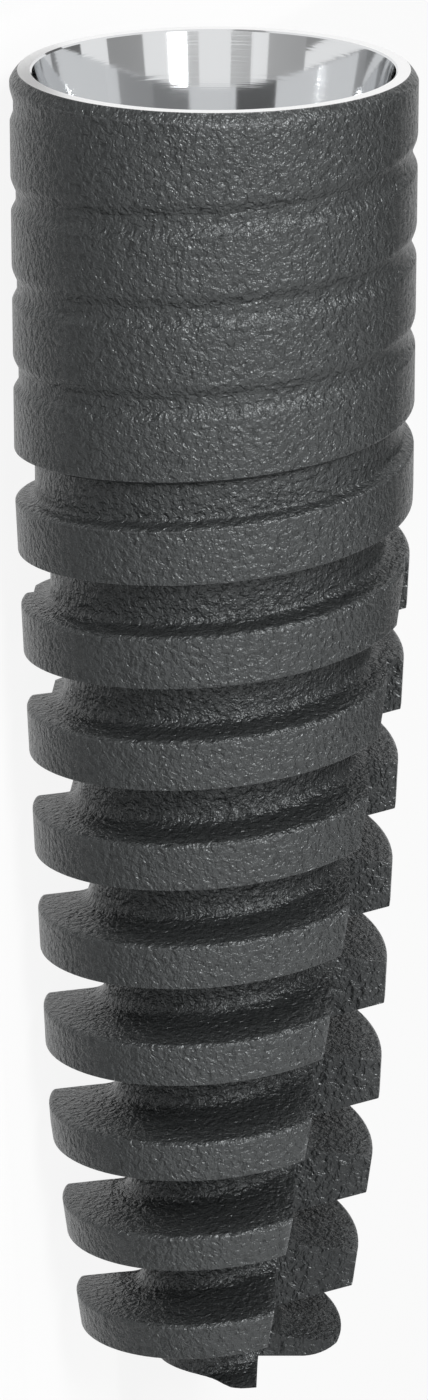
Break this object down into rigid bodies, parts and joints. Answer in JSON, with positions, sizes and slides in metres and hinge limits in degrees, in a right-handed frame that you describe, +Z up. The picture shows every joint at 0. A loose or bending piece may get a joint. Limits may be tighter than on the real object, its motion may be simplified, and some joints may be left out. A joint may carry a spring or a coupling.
{
  "type": "dental implant fixture",
  "caption": "Tapered self-cutting dental implant with a finely grooved collar, deep square-edged thread, cutting flutes and a conical screw-retained seat.",
  "frame": {"origin": "middle of the plane that the implant rests on, under the middle of its box", "axes": "+Z up from the resting plane; +Y along the implant towards its platform, which is raised about 3 degrees; +X to the right when looking along +Y"},
  "size_m": [0.0038, 0.0132, 0.004],
  "materials": {
    "titanium": "blasted dark grey titanium outside, machined bright on the platform ring and in the seat"
  },
  "bodies": {
    "root": {"implant_fixture": "titanium"}
  },
  "joints": []
}
